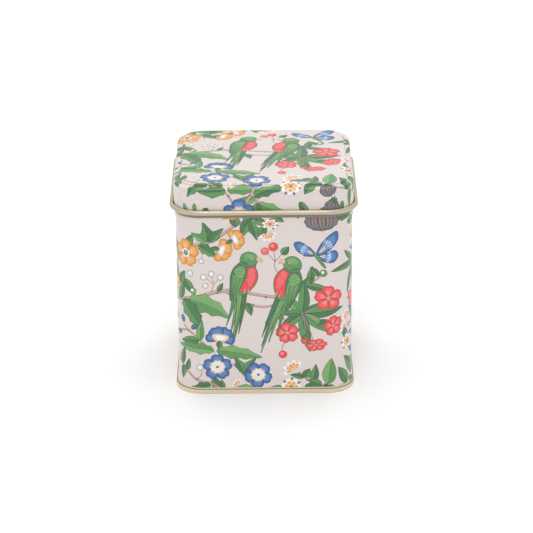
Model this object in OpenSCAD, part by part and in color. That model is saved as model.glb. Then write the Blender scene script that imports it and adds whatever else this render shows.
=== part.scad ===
// Square slip-lid tinplate tin with a drop-in sifter for powder.
// Millimetres, +Z up, origin at the centre of the resting face, front towards -Y.

/* [Body] */
// Outside width of the square body wall
body_width = 76; // [64:1:120]
// Overall height with the lid on
total_height = 96.5; // [60:0.5:180]
// Outside radius of the body's vertical corners
corner_radius = 11; // [10.5:0.5:18]
// Thickness of the tinplate
sheet = 0.3; // [0.25:0.05:0.35]

/* [Neck and bead] */
// Diameter of the inward curl along the neck's edge
neck_curl_d = 1.8; // [1.4:0.1:2]
// How far the bead under the lid stands out of the wall
bead_depth = 0.45; // [0.35:0.05:0.6]
// Height of the bead
bead_height = 4.4; // [4:0.2:5]

/* [Lid] */
// Height of the lid from its rolled rim to its top
lid_height = 12.9; // [11:0.1:15]
// How far the lid's skirt stands outside the body wall
lid_overhang = 0.6; // [0.55:0.05:0.8]
// Diameter of the outward roll along the lid's rim
lid_curl_d = 2.2; // [1.8:0.1:2.4]
// Outside radius of the shoulder between the skirt and the ledge
shoulder_radius = 1.3; // [0.8:0.1:1.6]
// Rise of the lid's raised panel above the ledge around it
panel_rise = 1; // [1:0.1:1.2]
// Distance from the skirt to the foot of the raised panel
panel_inset = 2.1; // [2:0.1:3]

/* [Base seam] */
// How far the bottom seam stands outside the straight wall
seam_overhang = 1.25; // [1.2:0.05:1.5]
// Height of the bottom seam
seam_height = 1.9; // [1.6:0.1:2.2]
// Depth of the bottom panel above the resting face
base_recess = 2.3; // [2:0.1:3]
// Height at which the wall begins to flare out towards the seam
flare_start = 13; // [11:0.5:16]
// How far the wall has flared where it enters the seam
flare_depth = 0.85; // [0.8:0.05:0.9]

/* [Side seam] */
// Width of the lock seam up the back of the body
lock_seam_width = 5; // [4:0.5:6]

/* [Sifter] */
// Depth of the sifter tray, from its flange down to its floor
tray_depth = 7; // [6.6:0.1:7.4]
// Diameter of the raised round field that holds the holes
field_d = 50; // [46:1:52]
// Rise of the round field above the tray floor
field_rise = 1.2; // [1:0.1:1.4]
// Diameter of one sifting hole
hole_d = 2; // [1.4:0.1:2.2]
// Number of rings of holes
hole_rings = 4; // [3:1:4]
// Radius of the innermost ring of holes
first_ring_r = 8.5; // [8:0.5:9]
// Distance from one ring of holes to the next
ring_pitch = 4; // [3.4:0.1:4]

/* [Knob] */
// Largest diameter of the lifting knob
knob_d = 10; // [8:0.5:11]
// Height of the lifting knob above the sifting field
knob_height = 4.8; // [4.4:0.1:5]
// Diameter of the rivet's shank
rivet_d = 2.4; // [2:0.1:2.6]

/* [Hidden] */
$fn = 96;

// Gap left between sheets that rest on each other: neck, sifter flange and lid
rest_gap = 0.1;
// Gap between the neck curl and the wall of the sifter tray
tray_gap = 0.25;
// How far the sifter's flange stops short of the outside of the body wall
flange_margin = 0.6;
// How far neighbouring shapes overlap so that they join, and cutting shapes pass through the sheet
join = 0.01;
cut = 1;
// Half the width of the square core whose corners are the corner centres
core = body_width / 2 - corner_radius;
// Outside faces, as distances from a corner centre
wall_x = corner_radius;
skirt_x = wall_x + lid_overhang;
seam_x = wall_x + seam_overhang;
tray_x = wall_x - neck_curl_d - tray_gap;
// Heights of the main faces
rim_z = total_height - lid_height;
ledge_z = total_height - panel_rise;
flange_top_z = ledge_z - sheet - rest_gap;
neck_z = flange_top_z - sheet - rest_gap;
bead_z = rim_z + rest_gap - bead_height / 2;
tray_floor_z = flange_top_z - tray_depth;
field_z = tray_floor_z + sheet + field_rise;
panel_z = base_recess + sheet;
// Radii of the small bends
step_r = 0.5;
seam_outer_r = 0.45;
seam_inner_r = 0.35;
base_bend_r = 0.7;
tray_bend_r = 0.9;
flange_bend_r = 0.5;
// Raised middle of the base: its rise, and how far it lies inside the straight wall
base_panel_rise = 1;
base_panel_inset = 5;
// How far the inner wall of the base stands outside the straight body wall
chuck_offset = 0.32;
// Gap between the wall's flange and the sheet of the seam that it stands on
flange_gap = 0.15;
// Lock seam: depth of its groove, how far it stops short of the bends, and its overlap with the wall
groove = 0.12;
seam_end = 1;
fold_overlap = 0.05;
// Where the lid's roll ends, as a share of its radius above its centre
roll_opening = 1.6;
// Holes in the innermost ring, and how many more there are in each ring around it
first_ring_holes = 8;
more_holes = 6;
// Knob: heights of its foot and head, and radii of its foot and waist as shares of its diameter
knob_foot_h = 0.8;
knob_head_h = 1.6;
knob_foot_share = 0.42;
knob_waist_share = 0.24;
// Solid height left over the rivet's bore, in the knob
knob_roof = 1.2;
// Radial gap round the rivet's shank, the gap past its end, and the height of its head
rivet_gap = 0.05;
rivet_end_gap = 0.2;
rivet_head_h = 0.6;
// Derived: the sifting field's underside and the depth of the knob's bore
field_under_z = field_z - sheet;
bore_h = knob_height - knob_roof;

PRINT_GROUND = [0.86, 0.82, 0.80];
GOLD_LACQUER = [0.80, 0.74, 0.62];
BARE_TIN = [0.74, 0.74, 0.73];
ALUMINIUM = [0.80, 0.80, 0.81];

// A rectangle given by its edges
module rect(x0, x1, z0, z1) {
    translate([x0, z0]) square([x1 - x0, z1 - z0]);
}

// A quarter of a bent sheet: outer radius r, in the quadrant with signs sx and sz
module bend(x, z, r, sx, sz) {
    translate([x, z]) intersection() {
        difference() {
            circle(r);
            circle(r - sheet);
        }
        translate([sx > 0 ? 0 : -r, sz > 0 ? 0 : -r]) square(r);
    }
}

// The S-shaped step from a low face at z0, outside foot_x, up to a high face at z1
module panel_step(foot_x, z0, z1) {
    riser_x = foot_x - step_r;
    bend(foot_x, z0 + step_r, step_r + sheet, -1, -1);
    rect(riser_x - sheet, riser_x, z0 + step_r - join, z1 - step_r + join);
    bend(riser_x - step_r, z1 - step_r, step_r, 1, 1);
}

// A profile swept round the square: its x is the distance from the corner centres
module sweep_square() {
    for (turn = [0:90:270]) rotate([0, 0, turn]) translate([core, core, 0]) {
        rotate_extrude(angle = 90) children();
        rotate([90, 0, 0]) linear_extrude(height = 2 * core) children();
    }
}

// A flat sheet over the square core, which a swept profile carries outwards
module core_sheet(z_top) {
    translate([-core, -core, z_top - sheet]) cube([2 * core, 2 * core, sheet]);
}

// Section of the body wall: seam flange, flare, wall, bead and neck curl
module wall_profile() {
    flare_h = flare_start - seam_height;
    flare_r = (flare_h * flare_h + flare_depth * flare_depth) / (2 * flare_depth);
    bead_r = (bead_height * bead_height / 4 + bead_depth * bead_depth) / (2 * bead_depth);
    bead_x = wall_x + bead_depth - bead_r;
    curl_r = neck_curl_d / 2;
    flange_x = wall_x + flare_depth;
    rect(flange_x - sheet, flange_x, sheet + flange_gap, seam_height);
    intersection() {
        translate([wall_x + flare_r, flare_start]) difference() {
            circle(flare_r + sheet);
            circle(flare_r);
        }
        rect(wall_x - sheet, flange_x + sheet, seam_height - join, flare_start);
    }
    difference() {
        union() {
            rect(wall_x - sheet, wall_x, flare_start, neck_z - curl_r);
            intersection() {
                translate([bead_x, bead_z]) circle(bead_r);
                rect(wall_x - sheet, wall_x + bead_depth, bead_z - bead_r, bead_z + bead_r);
            }
        }
        translate([bead_x, bead_z]) circle(bead_r - sheet);
    }
    for (quadrant = [[1, 1], [-1, 1], [-1, -1]])
        bend(wall_x - curl_r, neck_z - curl_r, curl_r, quadrant[0], quadrant[1]);
}

// The printed sheet, wrapped into a square tube and closed by a lock seam at the back
module body_wall() {
    seam_bottom = flare_start + seam_end;
    seam_top = bead_z - bead_height / 2 - seam_end;
    fold_y = body_width / 2 - 2 * sheet - fold_overlap;
    color(PRINT_GROUND) difference() {
        union() {
            sweep_square() wall_profile();
            translate([-lock_seam_width / 2, fold_y, seam_bottom])
                cube([lock_seam_width, sheet + 2 * fold_overlap, seam_top - seam_bottom]);
        }
        translate([lock_seam_width / 2 - groove, body_width / 2 - groove, seam_bottom])
            cube([2 * groove, 2 * groove, seam_top - seam_bottom]);
    }
}

// Section of the bottom end: seam ring, chuck wall and recessed panel
module base_profile() {
    chuck_x = wall_x + chuck_offset;
    foot_x = wall_x - base_panel_inset;
    lip_r = sheet / 2;
    translate([seam_x - lip_r, seam_height - lip_r]) circle(lip_r);
    rect(seam_x - sheet, seam_x, seam_outer_r, seam_height - lip_r);
    bend(seam_x - seam_outer_r, seam_outer_r, seam_outer_r, 1, -1);
    rect(chuck_x - sheet + seam_inner_r, seam_x - seam_outer_r, 0, sheet);
    bend(chuck_x - sheet + seam_inner_r, seam_inner_r, seam_inner_r, -1, -1);
    rect(chuck_x - sheet, chuck_x, seam_inner_r, panel_z - base_bend_r);
    bend(chuck_x - base_bend_r, panel_z - base_bend_r, base_bend_r, 1, 1);
    rect(foot_x, chuck_x - base_bend_r, panel_z - sheet, panel_z);
    panel_step(foot_x, panel_z, panel_z + base_panel_rise);
    rect(0, foot_x - 2 * step_r, panel_z + base_panel_rise - sheet, panel_z + base_panel_rise);
}

// The stamped bottom, seamed round the flange of the body wall
module base_end() {
    color(GOLD_LACQUER) {
        sweep_square() base_profile();
        core_sheet(panel_z + base_panel_rise);
    }
}

// Section of the lid: rolled rim, skirt, shoulder, ledge and raised panel
module lid_profile() {
    curl_r = lid_curl_d / 2;
    curl_x = skirt_x - sheet + curl_r;
    foot_x = skirt_x - panel_inset;
    open_h = curl_r * roll_opening;
    translate([curl_x, rim_z + curl_r]) difference() {
        circle(curl_r);
        circle(curl_r - sheet);
        polygon([[0, 0], [-curl_r, open_h], [-curl_r * 2, open_h], [-curl_r * 2, 0]]);
    }
    rect(skirt_x - sheet, skirt_x, rim_z + curl_r, ledge_z - shoulder_radius);
    bend(skirt_x - shoulder_radius, ledge_z - shoulder_radius, shoulder_radius, 1, 1);
    if (panel_inset > shoulder_radius)
        rect(foot_x, skirt_x - shoulder_radius, ledge_z - sheet, ledge_z);
    panel_step(foot_x, ledge_z, total_height);
    rect(0, foot_x - 2 * step_r, total_height - sheet, total_height);
}

// The drawn lid, printed outside, whose rim is rolled outwards and shows its lacquered side
module lid() {
    color(PRINT_GROUND) {
        sweep_square() lid_profile();
        core_sheet(total_height);
    }
}

// Section of the sifter tray: flange over the neck curl, wall and floor
module tray_profile() {
    flange_z = flange_top_z - sheet;
    rect(tray_x + flange_bend_r, wall_x - flange_margin, flange_z, flange_top_z);
    bend(tray_x + flange_bend_r, flange_z - flange_bend_r, flange_bend_r + sheet, -1, 1);
    rect(tray_x - sheet, tray_x, tray_floor_z + tray_bend_r, flange_z - flange_bend_r);
    bend(tray_x - tray_bend_r, tray_floor_z + tray_bend_r, tray_bend_r, 1, -1);
    rect(0, tray_x - tray_bend_r, tray_floor_z, tray_floor_z + sheet);
}

// The sifter: a shallow tray with a raised round field of holes
module sifter_tray() {
    field_r = field_d / 2;
    color(BARE_TIN) difference() {
        union() {
            difference() {
                union() {
                    sweep_square() tray_profile();
                    core_sheet(tray_floor_z + sheet);
                }
                translate([0, 0, tray_floor_z - cut]) cylinder(r = field_r, h = sheet + 2 * cut);
            }
            rotate_extrude() {
                panel_step(field_r, tray_floor_z + sheet, field_z);
                rect(0, field_r - 2 * step_r, field_z - sheet, field_z);
            }
        }
        translate([0, 0, field_under_z - cut]) {
            for (ring = [0:hole_rings - 1], hole = [1:first_ring_holes + more_holes * ring])
                rotate([0, 0, hole * 360 / (first_ring_holes + more_holes * ring)])
                    translate([first_ring_r + ring * ring_pitch, 0, 0])
                        cylinder(d = hole_d, h = sheet + 2 * cut);
            cylinder(r = rivet_d / 2 + rivet_gap, h = sheet + 2 * cut);
        }
    }
}

// The turned knob that lifts the sifter out for filling
module lift_knob() {
    head_z = knob_height - knob_head_h;
    head_x = (knob_d - knob_head_h) / 2;
    color(ALUMINIUM) translate([0, 0, field_z]) difference() {
        rotate_extrude() {
            rect(0, knob_d * knob_foot_share, 0, knob_foot_h);
            rect(0, knob_d * knob_waist_share, knob_foot_h, head_z);
            rect(0, head_x, head_z, knob_height);
            translate([head_x, head_z + knob_head_h / 2]) circle(knob_head_h / 2);
        }
        translate([0, 0, -cut]) cylinder(r = rivet_d / 2 + rivet_gap, h = bore_h + cut);
    }
}

// The rivet that holds the knob, headed under the sifting field
module knob_rivet() {
    head_mid_z = field_under_z - rivet_head_h / 2;
    color(BARE_TIN) {
        translate([0, 0, field_under_z - rivet_head_h]) cylinder(d = rivet_d * 2, h = rivet_head_h);
        translate([0, 0, head_mid_z])
            cylinder(d = rivet_d, h = field_z + bore_h - rivet_end_gap - head_mid_z);
    }
}

body_wall();
base_end();
lid();
sifter_tray();
lift_knob();
knob_rivet();
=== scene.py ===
"""The looks of a square slip-lid tin: its printed sheets, its metal finishes, the light and the camera."""

import math

import bpy
import numpy as np
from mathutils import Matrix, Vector
from mathutils.geometry import delaunay_2d_cdt


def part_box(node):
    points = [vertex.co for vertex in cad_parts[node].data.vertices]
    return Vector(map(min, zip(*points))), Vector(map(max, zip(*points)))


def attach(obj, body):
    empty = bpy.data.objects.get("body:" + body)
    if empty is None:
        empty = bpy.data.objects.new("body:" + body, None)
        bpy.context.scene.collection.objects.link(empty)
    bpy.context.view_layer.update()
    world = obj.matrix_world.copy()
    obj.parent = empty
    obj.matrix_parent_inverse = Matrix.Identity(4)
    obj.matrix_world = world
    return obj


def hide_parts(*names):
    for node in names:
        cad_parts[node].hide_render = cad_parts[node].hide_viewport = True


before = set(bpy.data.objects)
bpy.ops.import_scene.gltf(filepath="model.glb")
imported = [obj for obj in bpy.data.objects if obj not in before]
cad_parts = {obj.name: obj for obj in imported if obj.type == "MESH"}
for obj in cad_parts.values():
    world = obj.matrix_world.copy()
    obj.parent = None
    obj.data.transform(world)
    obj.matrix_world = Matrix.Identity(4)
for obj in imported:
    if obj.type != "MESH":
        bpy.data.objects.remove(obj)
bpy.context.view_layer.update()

# ---- sizes, in millimetres
MM = 0.001
SHEET = 0.3
CORNER_R = 11.0
FLARE_DEPTH = 0.85
FLARE_TOP = 13.0
SEAM_TOP = 1.9
FLANGE_FOOT = 0.45
BEAD_DEPTH = 0.45
BEAD_HEIGHT = 4.4
NECK_CURL_R = 0.9
LID_OVERHANG = 0.6
LID_CURL_R = 1.1
SHOULDER_R = 1.3
PANEL_RISE = 1.0
PANEL_INSET = 2.1
STEP_R = 0.5
SIDE_SEAM_X = 2.5
SIDE_SEAM_HALF = 0.14
SIDE_SEAM_DEPTH = 0.12
PRINT_FOOT = 2.8
# Top of the painted shade in the groove just above the seam ring
GROOVE_SHADE_TOP = 2.3
# Depth below the lid's rim of the band of painted shadow under the lip
RIM_SHADOW_DROP = 1.5
RIM_GAP = 0.1
BEAD_SOFT = 0.3
PRINT_MIDDLE = 40.0
EDGE_MARGIN = 0.02
CHORD_SLACK = 0.1
LINE_TOLERANCE = 0.05
CORNER_STEPS = 12
ARC_STEPS = 6
FLARE_STEPS = 7
BEAD_STEPS = 8
CURL_STEPS = 12
LIP_STEPS = 20
LIP_END = 482.0


def box_mm(node):
    low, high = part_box(node)
    return [v / MM for v in low], [v / MM for v in high]


body_high = box_mm("body_wall")[1]
lid_low, lid_high = box_mm("lid")
core = body_high[0] - FLARE_DEPTH - CORNER_R
top_z = lid_high[2]
rim_z = lid_low[2]
neck_z = body_high[2]
ledge_z = top_z - PANEL_RISE
skirt_x = CORNER_R + LID_OVERHANG
bead_z = rim_z + RIM_GAP - BEAD_HEIGHT / 2
# The print's motifs stop here; from here up to the lid's rim runs the band of painted shadow under the lip
print_top = rim_z - RIM_SHADOW_DROP
girth = 8 * core + 2 * math.pi * CORNER_R

# ---- inks and metals, sRGB 0 to 255
INKS = {
    "ground": (219, 208, 204),
    "green_line": (46, 78, 54),
    "green_dark": (66, 116, 68),
    "green_mid": (90, 146, 82),
    "green_light": (118, 168, 102),
    "blue_line": (38, 58, 100),
    "blue_deep": (54, 100, 160),
    "blue_mid": (82, 130, 186),
    "blue_light": (116, 158, 206),
    "red_line": (164, 62, 66),
    "red_mid": (228, 64, 70),
    "red_light": (236, 98, 100),
    "red_pale": (242, 140, 136),
    "orange_line": (180, 116, 48),
    "orange_mid": (230, 148, 48),
    "orange_light": (236, 174, 92),
    "peach": (227, 196, 164),
    "white": (240, 238, 240),
    "bark_line": (112, 86, 80),
    "bark": (180, 146, 138),
    "bark_light": (206, 176, 168),
    "slate": (112, 102, 106),
    "clay": (190, 124, 92),
    "pearl": (222, 222, 224),
    # Painted shadow under the lid's lip, in a band from print_top up to the rim
    "rim_painted_shadow": (146, 138, 121),
    # Painted shade in the groove above the seam ring at the foot
    "groove_painted_shade": (142, 134, 110),
}
GOLD = len(INKS)


class Pen:
    """Adds inked outlines to a sheet, in millimetres, through a place, a turn, a scale and a mirror."""

    def __init__(self, sheet, matrix=None, origin=(0.0, 0.0)):
        self.sheet = sheet
        self.matrix = np.eye(2) if matrix is None else matrix
        self.origin = np.array(origin, float)

    def at(self, x, y, turn=0.0, scale=1.0, flip=False, squash=1.0):
        c, s = math.cos(math.radians(turn)), math.sin(math.radians(turn))
        local = np.array([[c, -s], [s, c]]) @ np.diag([scale * (-1 if flip else 1), scale * squash])
        return Pen(self.sheet, self.matrix @ local, self.origin + self.matrix @ np.array([x, y]))

    def fill(self, ink, points):
        self.sheet.append((ink, np.asarray(points, float) @ self.matrix.T + self.origin))

    def stroke(self, ink, points, start, end=None):
        """A ribbon along a line of points, whose width runs from start to end."""
        line = np.asarray(points, float)
        end = start if end is None else end
        side = sideways(np.gradient(line, axis=0)) * np.linspace(start, end, len(line))[:, None] / 2
        self.fill(ink, np.concatenate([line + side, (line - side)[::-1]]))

    def disc(self, ink, x, y, r, n):
        a = np.linspace(0, 2 * math.pi, n, endpoint=False)
        self.fill(ink, np.stack([x + r * np.cos(a), y + r * np.sin(a)], 1))

    def patch(self, ink, control, per=5):
        self.fill(ink, smooth(control, True, per))


def smooth(points, closed=False, per=5):
    """A Catmull-Rom curve through the points."""
    p = np.asarray(points, float)
    count = len(p) if closed else len(p) - 1
    out = []
    for i in range(count):
        if closed:
            a, b, c, d = (p[(i + k) % len(p)] for k in (-1, 0, 1, 2))
        else:
            a, b, c, d = p[max(i - 1, 0)], p[i], p[i + 1], p[min(i + 2, len(p) - 1)]
        for t in np.linspace(0, 1, per, endpoint=False):
            bend, twist = 2 * a - 5 * b + 4 * c - d, 3 * b - a - 3 * c + d
            out.append(0.5 * (2 * b + (c - a) * t + bend * t**2 + twist * t**3))
    if not closed:
        out.append(p[-1])
    return np.array(out)


def unit(v):
    return v / np.maximum(np.linalg.norm(v, axis=-1, keepdims=True), 1e-12)


def sideways(tangent):
    """Unit vectors to the left of the tangents."""
    return unit(tangent)[:, ::-1] * (-1, 1)


def grow(points, by):
    """The outline moved outwards by a distance, for the drawn line round a shape."""
    p = np.asarray(points, float)
    area = np.sum(p[:, 0] * np.roll(p[:, 1], -1) - p[:, 1] * np.roll(p[:, 0], -1))
    return p - sideways(np.roll(p, -1, 0) - np.roll(p, 1, 0)) * (by if area > 0 else -by)


def ray(angle, *radii):
    """Points at the radii in one direction."""
    return [(r * math.cos(angle), r * math.sin(angle)) for r in radii]


def petal_line(r, w, base, side, tip=None):
    """A closed outline in shares of r and w: its base, a side, its tip if it has one, and that mirrored."""
    rows = [(base, 0), *((x, -y) for x, y in side), *([] if tip is None else [(tip, 0)]), *side[::-1]]
    return [(x * r, y * w) for x, y in rows]


def shape(pen, ink, line_ink, control, line=0.2, per=5):
    """A smooth closed shape with its outline. Returns its points."""
    points = smooth(control, closed=True, per=per)
    pen.fill(line_ink, grow(points, line))
    pen.fill(ink, points)
    return points


# ---- printed motifs
DARK, MID, LIGHT = "dark", "mid", "light"
GREENS = {
    DARK: ("green_line", "green_dark", "green_mid"),
    MID: ("green_line", "green_mid", "green_dark"),
    LIGHT: ("green_dark", "green_light", "green_mid"),
}
BLUES = ("blue_line", "blue_deep", "blue_mid", "blue_light")
REDS = ("red_line", "red_mid", "red_light", "red_pale")
ORANGES = ("orange_line", "orange_mid", "orange_light", "peach")
RED_BERRY = ("red_mid", "red_line", "red_pale")
NOTCH = 0.08
LONG_LEAF = 9
LEAF_LENGTH, LEAF_WIDTH = 0.94, 0.9
BIRD_SCALE, BIRD_SQUASH = 1.13, 0.9


def leaf(pen, x, y, turn, length, width, bend=0, tone=MID, lobes=0, veins=4):
    """A leaf growing from (x, y): two halves in different greens, a midrib and veins."""
    line_ink, upper_ink, lower_ink = GREENS[tone]
    pen = pen.at(x, y, turn)
    t = np.linspace(0, 1, 19)
    axis = np.stack([length * t, bend * length * (t**2 - 0.35 * t)], 1)
    half = width / 2 * np.sin(math.pi * t**0.72) ** 0.85
    if lobes:
        half *= 1 - 0.3 * np.abs(np.sin(math.pi * lobes * t)) * (t > 0.12) * (t < 0.93)
    half[[0, -1]] = 0
    tangent = unit(np.gradient(axis, axis=0))
    across = sideways(tangent) * half[:, None]
    upper, lower = axis + across, axis - across
    rim = axis[-1] + tangent[-1] * 0.3
    outline = np.concatenate([upper[1:-1], [rim], lower[1:-1][::-1], [axis[0]]])
    pen.fill(line_ink, grow(outline, 0.24))
    pen.fill(upper_ink, np.concatenate([upper[:-1], axis[::-1]]))
    pen.fill(lower_ink, np.concatenate([lower[:-1], axis[::-1]]))
    for k in range(veins):
        i = int(3 + k * 13 / veins)
        j = min(i + 3, 17)
        for edge, side_ink in ((upper, lower_ink), (lower, line_ink)):
            tip = axis[j] + (edge[j] - axis[j]) * 0.72
            pen.stroke(side_ink, [axis[i], (axis[i] + tip) / 2 + tangent[i] * 0.1, tip], 0.2, 0.06)
    pen.stroke(line_ink, axis, 0.36, 0.12)


def petal(pen, inks, r, w):
    """One petal along +x: its line, a dark edge, a body and a pale base with fine strokes."""
    line_ink, edge_ink, body_ink, base_ink = inks
    control = petal_line(r, w, 0.02, [(0.3, 0.22), (0.62, 0.5), (0.87, 0.42), (1, 0.17)], 1 - NOTCH)
    points = shape(pen, edge_ink, line_ink, control, 0.24, 3)
    middle = points.mean(0)
    for ink, share, pull in ((body_ink, 0.72, 0.94), (base_ink, 0.4, 0.74)):
        pen.fill(ink, (points - middle) * share + middle * pull)
    for a in (-0.32, 0, 0.32):
        fine = [(0.36 * r, a * 0.55 * w), (0.6 * r, a * 0.85 * w), (0.76 * r, a * w)]
        pen.stroke(line_ink, fine, 0.16, 0.05)


def blossom(pen, x, y, r, inks, turn=0, squash=0.94, lean=0, count=5):
    """An open flower of overlapping petals, whose centre goes with its colour."""
    pen = pen.at(x, y, lean, squash=squash)
    for k in range(count):
        petal(pen.at(0, 0, turn + k * 360 / count), inks, r, r * 4.15 / count)
    if inks is BLUES:
        around_eye = np.linspace(0, 2 * math.pi, 40, endpoint=False)
        ring = np.concatenate([ray(a, 0.53 * r * (1 + 0.08 * math.cos(10 * a))) for a in around_eye])
        pen.fill("peach", ring)
        pen.fill("white", ring * 0.8)
        for k in range(12):
            pen.stroke("bark", ray(math.radians(k * 30 + 8), 0.17 * r, 0.36 * r), 0.14)
        pen.disc("green_dark", 0, 0, 0.11 * r, 10)
    elif inks is ORANGES:
        pen.disc("white", 0, 0, 0.32 * r, 16)
        for k in range(5):
            pen.disc("green_dark", *ray(math.radians(turn + 36 + k * 72), 0.15 * r)[0], 0.09 * r, 8)
        pen.disc("green_light", 0, 0, 0.08 * r, 8)
    else:
        pen.disc("peach", 0, 0, 0.13 * r, 10)
        pen.disc("green_light", 0, 0, 0.08 * r, 8)
        for k in range(10):
            pen.disc("red_line", *ray(math.radians(k * 36), 0.24 * r)[0], 0.1, 5)


def cup_flower(pen, x, y, turn, r, inks):
    """A flower seen from the side: a fan of petals over a shallow cup."""
    pen = pen.at(x, y, turn)
    for a in (-62, 62, -24, 24):
        petal(pen.at(0, 0, a), inks, r * (1 if abs(a) < 40 else 0.92), r * 0.86)
    shape(pen, "peach", inks[0], petal_line(r, r, -0.12, [(0.1, 0.42), (0.42, 0.5)], 0.5), 0.16, 4)
    pen.patch("white", [
        (0.12 * r, -0.2 * r), (0.36 * r, -0.32 * r), (0.38 * r, 0.32 * r), (0.12 * r, 0.2 * r),
    ], 4)
    leaf(pen, 0, 0, 180, 0.5 * r, 0.34 * r, veins=0)


def star_flower(pen, x, y, r, turn=0, squash=1):
    """A white flower with orange at the base of each petal and green between them."""
    pen = pen.at(x, y, 0, squash=squash)
    for k in range(7):
        leaf(pen.at(0, 0, turn + (k + 0.5) * 360 / 7), 0.3 * r, 0, 0, 0.72 * r, 0.3 * r, 0, DARK, veins=0)
    for k in range(7):
        arm = pen.at(0, 0, turn + k * 360 / 7)
        shape(arm, "white", "bark", petal_line(r, r, 0.05, [(0.55, 0.3), (0.98, 0.16)]), 0.1, 3)
        arm.patch("orange_light", petal_line(r, r, 0.05, [(0.5, 0.2)], 0.7), 3)
        arm.stroke("orange_mid", [(0.12 * r, 0), (0.4 * r, 0.02 * r), (0.66 * r, 0)], 0.34, 0.1)
    pen.disc("green_line", 0, 0, 0.2 * r, 10)
    pen.disc("green_mid", 0, 0, 0.14 * r, 10)


def drop_flower(pen, x, y, turn, r):
    """A small hanging flower, white with orange strokes."""
    pen = pen.at(x, y, turn)
    for a, s in ((-80, 0.95), (80, 0.95), (-40, 0.9), (40, 0.9), (0, 0.8)):
        arm = pen.at(0, 0, a)
        shape(arm, "white", "bark", petal_line(r, r, 0, [(0.5, 0.2)], s), 0.1, 3)
        arm.patch("orange_mid", petal_line(r, r, 0.05, [(0.36, 0.13)], 0.66 * s), 3)
        arm.patch("orange_light", petal_line(r, r, 0.16, [(0.36, 0.06)], 0.52 * s), 3)


def berry(pen, x, y, r, ink="pearl", line_ink="bark_line", light="white"):
    pen.disc(line_ink, x, y, r + 0.22, 12)
    pen.disc(ink, x, y, r, 12)
    pen.disc(light, x - 0.2 * r, y + 0.24 * r, 0.46 * r, 8)


def bud(pen, x, y, turn, r, inks=REDS):
    """A closed bud: two folded petals in a green cup."""
    pen = pen.at(x, y, turn)
    shape(pen, inks[1], inks[0], petal_line(r, r, 0, [(0.5, 0.62), (1.3, 0.55)], 1.75), 0.18, 4)
    pen.patch(inks[2], [(0.35 * r, 0), (0.8 * r, -0.32 * r), (1.4 * r, 0.05 * r), (0.8 * r, 0.4 * r)], 4)
    pen.stroke(inks[0], [(0.4 * r, -0.1 * r), (1 * r, -0.16 * r), (1.6 * r, 0.05 * r)], 0.16)
    leaf(pen, -0.2 * r, 0, 0, 0.8 * r, 0.8 * r, veins=0)


def gourd(pen, x, y, rx, ry, turn=0, ribs=6):
    """A striped gourd: ribs of blue and green on clay inside a lobed outline, with a leafy crown."""
    pen = pen.at(x, y, turn)
    a = np.linspace(0, 2 * math.pi, 72, endpoint=False)
    lobe = 1 + 0.035 * np.cos(ribs * 2 * a) - 0.1 * np.exp(-((a - math.pi / 2) / 0.3) ** 2)
    rim = np.stack([rx * lobe * np.cos(a), ry * lobe * np.sin(a)], 1)
    pen.fill("bark_line", grow(rim, 0.26))
    pen.fill("clay", rim)
    height = np.linspace(-0.97, 0.97, 13)
    lean = np.sqrt(1 - height**2)
    for k in range(-ribs, ribs + 1):
        middle = k / ribs * 0.94
        mid_x = rx * np.sin(middle * math.pi / 2) * lean
        wide = 0.44 * rx / ribs * np.cos(middle * math.pi / 2) * (0.3 + 0.7 * lean) + 0.07
        left, right, rib = (np.stack([at, height * ry], 1) for at in (mid_x - wide, mid_x + wide, mid_x))
        pen.fill("blue_line" if k % 2 else "slate", np.concatenate([left, right[::-1]]))
        pen.stroke("blue_deep" if k % 2 else "green_dark", rib[1:-1], 1.2 * wide.max(), wide.max())
    for k in range(-2, 3):
        leaf(pen, 0, 0.78 * ry, 90 + 38 * k, 0.42 * rx, 0.2 * rx, 0.1 * k, veins=0)


def butterfly(pen, x, y, turn, size, flip=False):
    """A blue butterfly with folded forewings, white flecks and a green body."""
    pen = pen.at(x, y, turn, size / 20, flip)
    wings = (
        [(0, 0), (2.2, 5.6), (6.4, 10.2), (10.6, 12.4), (11.2, 8.6), (8.6, 4.4), (4.6, 1)],
        [(0.6, -0.6), (4.8, 0.8), (9.2, 2.2), (11, -0.8), (8.4, -4), (4.2, -3.6)],
        [(-0.6, 0.2), (-3.2, 4.4), (-8, 7.6), (-11, 7), (-9.8, 3.4), (-6, 0.2)],
    )
    for wing in wings:
        points = shape(pen, "blue_deep", "blue_line", wing, 0.28, 6)
        middle = points.mean(0)
        for ink, share, pull in (("blue_mid", 0.76, 0.95), ("blue_light", 0.44, 0.86), ("peach", 0.28, 0.5)):
            pen.fill(ink, (points - middle) * share + middle * pull)
        reach = np.linalg.norm(middle) * 1.06
        base = math.atan2(middle[1], middle[0])
        for k in range(-3, 4):
            pen.stroke("white", ray(base + k * 0.14, reach * 0.82, reach * (1.1 - 0.02 * abs(k))), 0.22, 0.5)
        for a in (-0.3, 0, 0.3):
            pen.stroke("blue_line", ray(base + a, 0.35 * reach, 1.16 * reach), 0.14, 0.06)
    shape(pen, "green_mid", "green_line", [
        (-1.6, 1.6), (-0.4, 1.4), (1.6, -1.4), (4.4, -6.4), (3.4, -6.6), (0.2, -2.2), (-1.4, 0.4),
    ], 0.2, 4)
    for k in range(4):
        pen.stroke("green_line", [(0.5 + 0.8 * k, -1.8 - 1.2 * k), (1.3 + 0.8 * k, -1.3 - 1.2 * k)], 0.18)
    pen.stroke("bark_line", smooth([(-1.4, 1.4), (-4.6, 1.6), (-8, 0.6)]), 0.16, 0.08)
    pen.stroke("bark_line", smooth([(-1.5, 1), (-4.6, 0.2), (-7.4, -1.6)]), 0.16, 0.08)


def plume(pen, ink, line_ink, points, width):
    """A long tail feather with a drawn edge and shaft."""
    curve = smooth(points, per=5)
    pen.stroke(line_ink, curve, width * 0.9, 0.3)
    pen.stroke(ink, curve[:-1], width * 0.68, 0.12)
    pen.stroke(line_ink, curve[1:-2], 0.14)


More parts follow.
